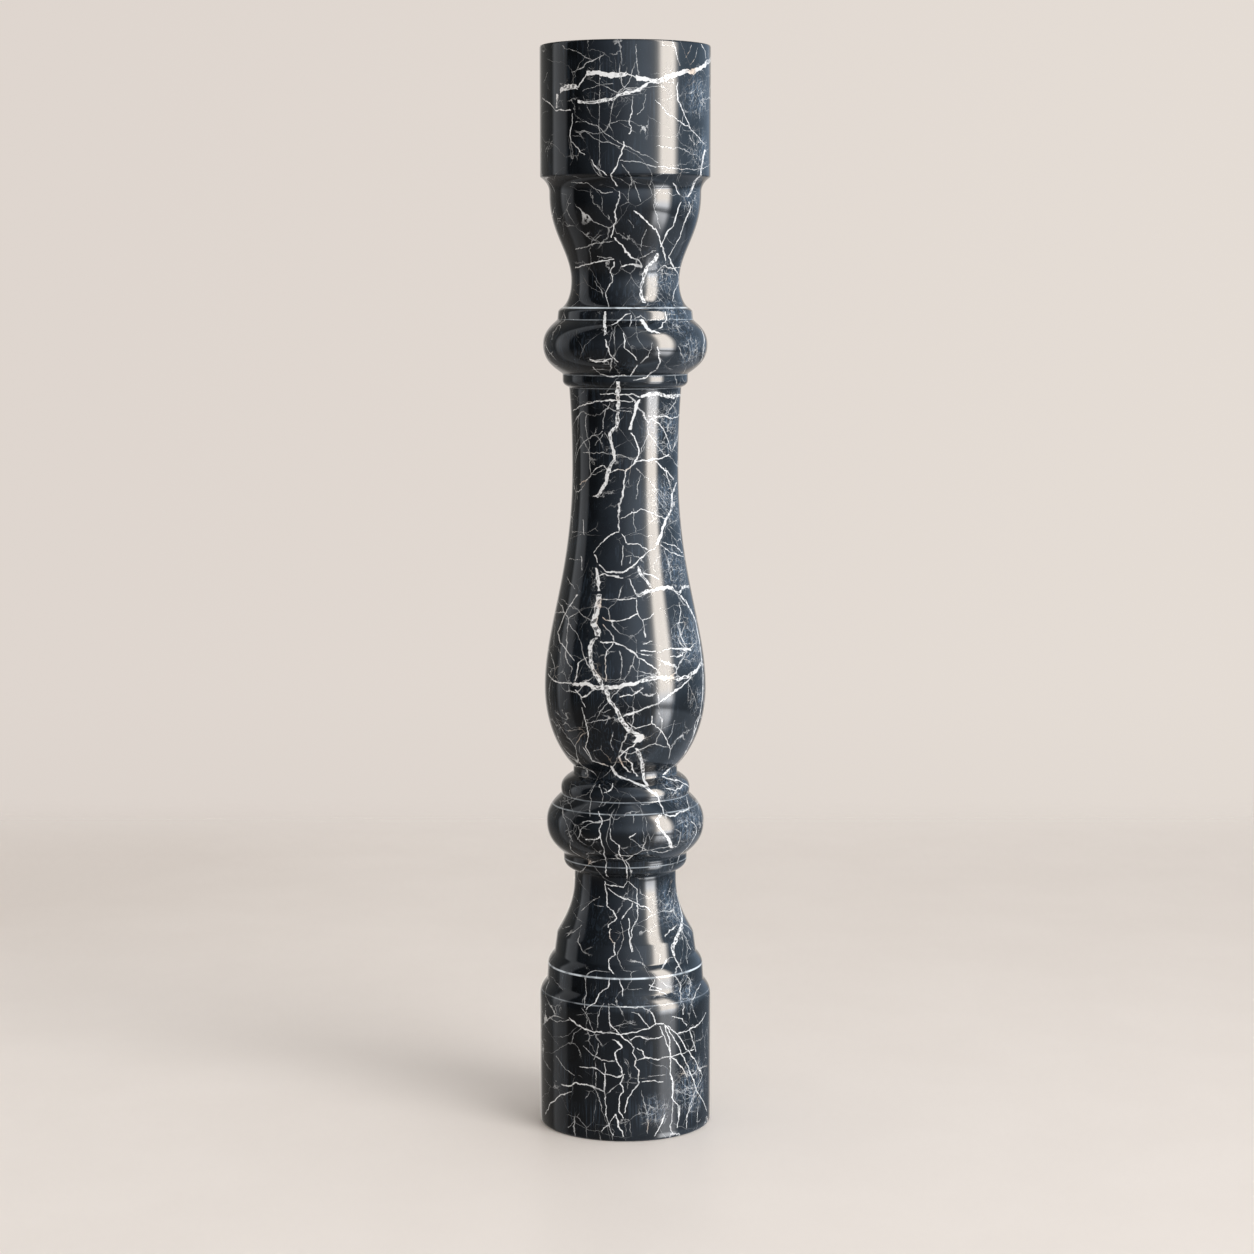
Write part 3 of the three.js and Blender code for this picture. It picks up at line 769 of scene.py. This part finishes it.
def makeMarble():
    material, stone = startMaterial("blackMarble")
    place = stone.node("TexCoord", out="Object")
    inMm = stone.node("Mapping", None, {"Vector": place, "Scale": (1 / mm,) * 3})
    blur = marble["blur"]

    def noise(size, detail, seed, vector=inMm, roughness=0.5, out="Fac"):
        return stone.node("TexNoise", None, {
            "Vector": vector.shift((seed,) * 3), "Scale": 1 / size, "Detail": detail,
            "Roughness": roughness}, out=out)

    def patch(name, vector=inMm):
        size, detail, seed, low, high = patches[name]
        return noise(size, detail, seed, vector).fade(low, high)

    def fray(name):
        size, reach, detail, seed = frays[name]
        return noise(size, detail, seed) * (reach * 2) - reach

    # A shift that wanders from place to place
    def wander(name):
        size, reach, detail, seed = bends[name]
        swirl = noise(size, detail, seed, roughness=bendRoughness, out="Color")
        return stone.vector("MULTIPLY_ADD", swirl, (reach * 2,) * 3, (-reach,) * 3)

    rough = wander("rough")
    bent = inMm.shift(wander("gentle")).shift(rough)

    # Cracks along the cell walls of a Voronoi pattern, here and there
    def net(name):
        cell, widest, presence, seed = nets[name]
        walls = stone.node("TexVoronoi", {"feature": "DISTANCE_TO_EDGE"},
                           {"Vector": bent.shift((seed,) * 3), "Scale": 1 / cell})
        there = noise(cell * cracks["netPatch"], cracks["detail"], seed)
        there = there.fade(presence, presence + cracks["netEdge"])
        thick = noise(cell * cracks["thickPatch"], cracks["detail"], seed + cracks["thickSeed"])
        half = thick.fade(cracks["thickFrom"], cracks["thickFull"]) * widest
        return (walls * cell).fade(half + blur, half - blur) * there

    # Straight cracks: walls that cross the whole stone, broken up
    def sheet(facing, spacing, width, presence, seed):
        along = stone.vector("DOT_PRODUCT", inMm.shift(rough), facing, out="Value")
        sway = noise(cracks["swaySize"], cracks["swayDetail"], seed) * spacing * cracks["sway"]
        flat = {"feature": "DISTANCE_TO_EDGE", "voronoi_dimensions": "1D"}
        walls = stone.node("TexVoronoi", flat, {"W": along + sway + seed, "Scale": 1 / spacing})
        there = noise(spacing * cracks["sheetPatch"], cracks["detail"], seed + cracks["sheetSeed"])
        there = there.fade(presence, presence + cracks["sheetEdge"])
        return (walls * spacing).fade(width / 2 + blur, width / 2 - blur) * there

    # What the camera can't see carries the same veins again, turned upside down
    x, y, z = inMm.split()
    behind = stone.math("GREATER_THAN", y, 0)
    lift = stone.node("CombineXYZ", None, {"Z": behind * baluster["height"]})
    front = stone.vector("MULTIPLY_ADD", inMm, 1 - behind * 2, lift)
    frontX, frontY, frontZ = front.split()
    radius = stone.math("SQRT", frontX * frontX + frontY * frontY)
    arc = radius * math.radians(1)
    jagX, jagY, jagZ = wander("jag").split()
    angle = stone.math("ARCTAN2", frontX, 0 - frontY) * math.degrees(1) + jagX / arc
    height = frontZ + jagZ

    def veins(narrowest, widest):
        def chosen(routes):
            return [vein for vein in routes if narrowest <= vein[0] < widest]
        down = depthInVeins(stone, height, angle, chosen(veinsDown), True) * arc
        across = depthInVeins(stone, angle, height, chosen(veinsAcross), False)
        return down.most(across)

    boldDepth = veins(marble["boldFrom"], math.inf)
    thinDepth = veins(marble["thinFrom"], marble["boldFrom"])
    hairlineDepth = veins(0, marble["thinFrom"])
    raggedDepth = boldDepth + fray("bold")
    hollow = patch("hollow") * raggedDepth.fade(marble["hollowFrom"], marble["hollowFull"])
    hollow = hollow * patch("hollowPlaces") * strength["hollow"]
    bold = raggedDepth.fade(-blur, blur) * (1 - hollow)
    frayed = fray("thin")
    shown = patch("faint") * strength["faint"] + (1 - strength["faint"])
    thin = (thinDepth + frayed + patch("knots") * marble["knot"]).fade(-blur, blur) * shown
    hairline = (hairlineDepth + frayed).fade(-blur, blur) * shown * strength["hairline"]

    # Mist in the places picked out on the photo
    misty = None
    for pixel, reach in mist:
        centreHeight, degrees = onStone(pixel)
        turn = math.radians(degrees)
        size = radiusAt(centreHeight)
        centre = (size * math.sin(turn), -size * math.cos(turn), centreHeight)
        far = stone.vector("DISTANCE", front, centre, out="Value")
        cloud = far.fade(reach, reach * marble["mistCore"])
        misty = misty.most(cloud) if misty else cloud
    misty = misty * frontY.fade(0, -marble["mistEdge"])
    besideBold = boldDepth.fade(marble["besideFar"], marble["besideNear"]) * patch("besideBold")
    hair = net("hair").most(net("crackle") * strength["crackle"])
    hair = hair * misty.most(besideBold * strength["besideBold"])
    stretched = stone.node("Mapping", None, {
        "Vector": inMm, "Scale": (1, 1, 1 / marble["streakLength"])})
    streaks = patch("streaks", stretched)
    fog = patch("flecks") * strength["flecks"] + streaks * strength["streaks"] + strength["haze"]
    fog = misty * fog * patch("fogPlaces")
    fog = fog + streaks * patch("streakPlaces") * strength["looseStreaks"]

    # Painted highlights: pale bands at the ledges' heights, broken up here and there
    ledgeHighlights = None
    for pixel, width, share in paintedLedgeHighlights:
        away = abs(z - onStone(pixel)[0])
        line = away.fade(width / 2 + marble["ledgeHighlightBlur"], width / 2 - marble["ledgeHighlightBlur"]) * share
        ledgeHighlights = ledgeHighlights.most(line) if ledgeHighlights else line
    ledgeHighlights = ledgeHighlights * (patch("ledgeHighlightBreaks") * strength["ledgeHighlightBreaks"] + (1 - strength["ledgeHighlightBreaks"]))

    # The end faces are honed and carry only the cracks that run through the stone
    half = baluster["height"] / 2
    side = abs(z - half).fade(half - marble["polishEnds"], half - marble["honedFrom"])
    drawn = bold.most(thin).most(hairline).most(hair * strength["hair"]) * side
    for name in ("coarse", "fine"):
        drawn = drawn.most(net(name) * strength[name])
    for crack in sheets:
        drawn = drawn.most(sheet(*crack) * strength["sheets"])
    smoke = patch("bigSmoke") * strength["bigSmoke"] + patch("smallSmoke") * strength["smallSmoke"]
    body = smoke.blend(marble["body"], marble["smoke"])
    body = fog.blend(body, marble["mist"])
    warmth = patch("warmth") * strength["warmth"]
    colour = drawn.blend(body, warmth.blend(marble["vein"], marble["warmVein"]))
    # the painted ledge highlights lighten the colour
    colour = ledgeHighlights.blend(colour, marble["ledgeHighlightColour"])
    sheen = side.fade(1, 0) * (marble["honedRoughness"] - marble["roughness"])
    finish = stone.node("BsdfPrincipled", None, {
        "Base Color": colour, "IOR": marble["refraction"], "Specular IOR Level": marble["specular"],
        "Roughness": sheen + marble["roughness"] + drawn * (marble["veinRoughness"] - marble["roughness"])})
    finishMaterial(stone, finish)
    print("marble mixed,", len(material.node_tree.nodes), "nodes")
    return material


# Floor in metres and backdrop by direction; each pair is where a tone sets in and where it's full
studio = dict(
    floorRadius=2.4, floorSides=96,
    rimFrom=1.6,                    # the floor fades out from here to its edge
    fadeFrom=0.9, fadeTo=1.3,     # and behind the stone
    floorColour=rgb(0.865, 0.81, 0.765), floorShadeAndMottle=rgb(0.7, 0.64, 0.592),
    floorRoughness=0.42, floorSpecular=0.2,
    cloudScale=9, cloudDetail=6,
    # painted shade: the floor darkens toward the back and the back left as where less light falls; the
    # clouds are mottling
    farShade=0.6, leftShade=0.45, cloudDark=0.1,    # shares of the dark floor colour
    farFrom=(-0.3, 0.9), leftFrom=(-0.15, -0.6), leftFarFrom=(0.2, 0.9), cloudFrom=(0.3, 0.7),
    backdropLeft=rgb(0.735, 0.67, 0.622), backdropRight=rgb(0.78, 0.718, 0.664),
    backdropTurns=(-0.25, 0.25),
    footDark=0.035, footFrom=(-0.13, -0.2),        # of the backdrop's light, lost at its foot
    shade=rgb(0.52, 0.475, 0.43), light=rgb(0.88, 0.89, 0.9),
)

# Lamps turned toward a point on the axis; azimuth 0 is the camera's side and 90 the right
lamps = dict(
    side=dict(
        kind="AREA", azimuth=50, elevation=5, distance=2.5, aim=0.4,
        settings=dict(shape="RECTANGLE", size=1.2, size_y=1.8, energy=3.4 * math.pi * 1.2 * 1.8)),
    sun=dict(
        kind="SUN", azimuth=45, elevation=55, distance=1, aim=0,
        settings=dict(angle=math.radians(24), energy=0.75)),
)
lampColour = (1.0, 0.99, 0.98)

# What the polish mirrors around the stone: degrees from the camera's side, to the right, and a radiance
surroundings = [
    (-180, (0.4, 0.38, 0.35)), (-116, (0.2, 0.2, 0.19)), (-110, (1.36, 1.4, 1.45)),
    (-88, (0.9, 0.92, 0.96)), (-83, (0.03, 0.03, 0.03)), (-66, (0.03, 0.03, 0.03)),
    (-52, (0.17, 0.2, 0.24)), (-37, (0.265, 0.32, 0.4)), (-22, (0.49, 0.59, 0.74)),
    (-5, (0.83, 0.98, 1.2)), (8, (1.5, 1.75, 2.08)), (24, (2.05, 2.45, 2.95)),
    (33, (2.45, 2.8, 3.3)), (40, (3.4, 3.65, 3.9)), (56, (1.85, 2.12, 2.5)),
    (75, (1.72, 2.18, 2.72)), (90, (1.15, 1.53, 1.97)), (112, (0.74, 1.02, 1.34)),
    (147, (0.57, 0.75, 0.98)), (180, (0.4, 0.38, 0.35)),
]

# The strip of light on its right: shares of its radiance by degrees, and by how far the ray points up
stripAcross = [(0, 0), (39, 0), (43, 0.1), (46, 0.35), (49, 0.8), (52, 1), (66, 1), (69.5, 0.75),
               (72.5, 0.3), (77, 0), (180, 0)]
stripDown = [(-1, 0), (-0.75, 0), (-0.6, 0.04), (-0.55, 0.12), (-0.5, 0.24), (-0.42, 0.44), (-0.34, 0.54),
             (-0.305, 0.42), (-0.287, 0.14), (-0.262, 0.15), (-0.25, 0.18), (-0.225, 0.38), (-0.185, 0.8),
             (-0.13, 0.9), (-0.08, 1), (0.65, 1), (0.78, 0), (1, 0)]

# Radiances that the polish mirrors, and where they change: a direction's up part, or its degrees
mirror = dict(
    peak=3.9,                       # brightest of the surroundings
    strip=25,
    stripHigh=rgb(1, 0.91, 0.81), stripLow=rgb(0.96, 0.97, 1), stripTurns=(-0.05, -0.2),
    ground=(0.55, 0.5, 0.46), groundShare=0.5, groundFrom=(-0.1, -0.35),
    lowDim=0.3, rightDim=0.22, dimFrom=(0.06, -0.2), rightFrom=(-40, 5),
    highDim=0.25, highFrom=(0.15, 0.5),
    under=0.6, underFrom=(-0.28, -0.33), underRight=(45, 75),
    wall=rgb(0.7, 0.66, 0.62), wallFrom=(0.35, 0.6), wallSpread=1.2, wallTop=(0.75, 0.45),
)


def addFloor():
    mesh = bmesh.new()
    bmesh.ops.create_circle(mesh, cap_ends=True, segments=studio["floorSides"], radius=studio["floorRadius"])
    data = bpy.data.meshes.new("floor")
    mesh.to_mesh(data)
    mesh.free()
    floor = bpy.data.objects.new("floor", data)
    floor.visible_glossy = False
    bpy.context.collection.objects.link(floor)
    material, wire = startMaterial("paleFloor")
    place = wire.node("TexCoord", out="Object")
    x, y, z = place.split()
    cloudy = wire.node("TexNoise", None, {
        "Vector": place, "Scale": studio["cloudScale"], "Detail": studio["cloudDetail"]})
    # Painted shade: darker toward the back and at the back left, standing in for light that falls off; the
    # clouds mottle the floor
    shadeAndMottle = y.fade(*studio["farFrom"]) * studio["farShade"]
    left = x.fade(*studio["leftFrom"]) * y.fade(*studio["leftFarFrom"])
    shadeAndMottle = shadeAndMottle + left * studio["leftShade"] + cloudy.fade(*studio["cloudFrom"]) * studio["cloudDark"]
    solid = wire.node("BsdfPrincipled", None, {
        "Base Color": shadeAndMottle.blend(studio["floorColour"], studio["floorShadeAndMottle"]),
        "Roughness": studio["floorRoughness"], "Specular IOR Level": studio["floorSpecular"]})
    clear = wire.node("BsdfTransparent")
    rim = wire.vector("LENGTH", place, out="Value").fade(studio["rimFrom"], studio["floorRadius"])
    gone = y.fade(studio["fadeFrom"], studio["fadeTo"]).most(rim)
    finishMaterial(wire, wire.node("MixShader", None, {0: gone, 1: solid, 2: clear}))
    data.materials.append(material)
    print("floor laid")


def addLamp(name, values):
    light = bpy.data.lights.new(name, values["kind"])
    for setting, value in values["settings"].items():
        setattr(light, setting, value)
    light.color = lampColour
    lamp = bpy.data.objects.new(name, light)
    turn = math.radians(values["azimuth"])
    rise = math.radians(values["elevation"])
    away = Vector((math.sin(turn) * math.cos(rise), -math.cos(turn) * math.cos(rise), math.sin(rise)))
    lamp.location = Vector((0, 0, values["aim"])) + away * values["distance"]
    lamp.rotation_euler = (-away).to_track_quat("-Z", "Y").to_euler()
    lamp.visible_camera = False
    lamp.visible_glossy = False
    bpy.context.collection.objects.link(lamp)


# The camera sees a plain backdrop, the stone is lit by a gradient and mirrors the surroundings
def addSurroundings():
    world = bpy.data.worlds.new("studio")
    world.use_nodes = True
    world.node_tree.nodes.clear()
    air = Wire(world.node_tree)
    toward = air.node("TexCoord", out="Generated")
    x, y, z = toward.split()
    azimuth = air.math("ARCTAN2", x, 0 - y) * math.degrees(1)

    def glow(colour, radiance=1.0):
        return air.node("Background", None, {"Color": colour, "Strength": radiance})

    wings = x.fade(*studio["backdropTurns"]).blend(studio["backdropLeft"], studio["backdropRight"])
    backdrop = glow(wings, 1 - z.fade(*studio["footFrom"]) * studio["footDark"])
    ambient = glow(x.fade(-1, 1).blend(studio["shade"], studio["light"]))
    peak = mirror["peak"]
    stops = [((degrees + 180) / 360, rgb(*[part / peak for part in radiance]))
             for degrees, radiance in surroundings]
    around = air.node("ValToRGB", {"stops": stops}, {"Fac": azimuth / 360 + 0.5})
    low = z.fade(*mirror["groundFrom"]) * mirror["groundShare"]
    around = low.blend(around, rgb(*[part / peak for part in mirror["ground"]]))
    dim = azimuth.fade(*mirror["rightFrom"]) * mirror["rightDim"] + mirror["lowDim"]
    level = 1 - z.fade(*mirror["dimFrom"]) * dim - z.fade(*mirror["highFrom"]) * mirror["highDim"]
    level = level + z.fade(*mirror["underFrom"]) * azimuth.fade(*mirror["underRight"]) * mirror["under"]
    across = air.node("FloatCurve", {"route": stripAcross}, {"Value": azimuth})
    down = air.node("FloatCurve", {"route": stripDown}, {"Value": z})
    tint = z.fade(*mirror["stripTurns"]).blend(mirror["stripHigh"], mirror["stripLow"])
    mirrored = air.node("AddShader", None, {
        0: glow(around, level * peak), 1: glow(tint, across * down * mirror["strip"])})
    wall = (y - abs(x) * mirror["wallSpread"]).fade(*mirror["wallFrom"]) * z.fade(*mirror["wallTop"])
    mirrored = air.node("MixShader", None, {0: wall, 1: mirrored, 2: glow(mirror["wall"])})
    byGloss = air.node("LightPath", out="Is Glossy Ray")
    byCamera = air.node("LightPath", out="Is Camera Ray")
    unseen = air.node("MixShader", None, {0: byGloss, 1: ambient, 2: mirrored})
    sky = air.node("MixShader", None, {0: byCamera, 1: unseen, 2: backdrop})
    air.node("OutputWorld", None, {"Surface": sky})
    bpy.context.scene.world = world
    bpy.context.scene.view_settings.view_transform = "Standard"
    print("surroundings lit")


addCamera()
stone = turnBaluster(baluster)
stone.data.materials.append(makeMarble())
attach(stone, "root")
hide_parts("baluster")
addFloor()
for name, values in lamps.items():
    addLamp(name, values)
print("lamps hung")
addSurroundings()
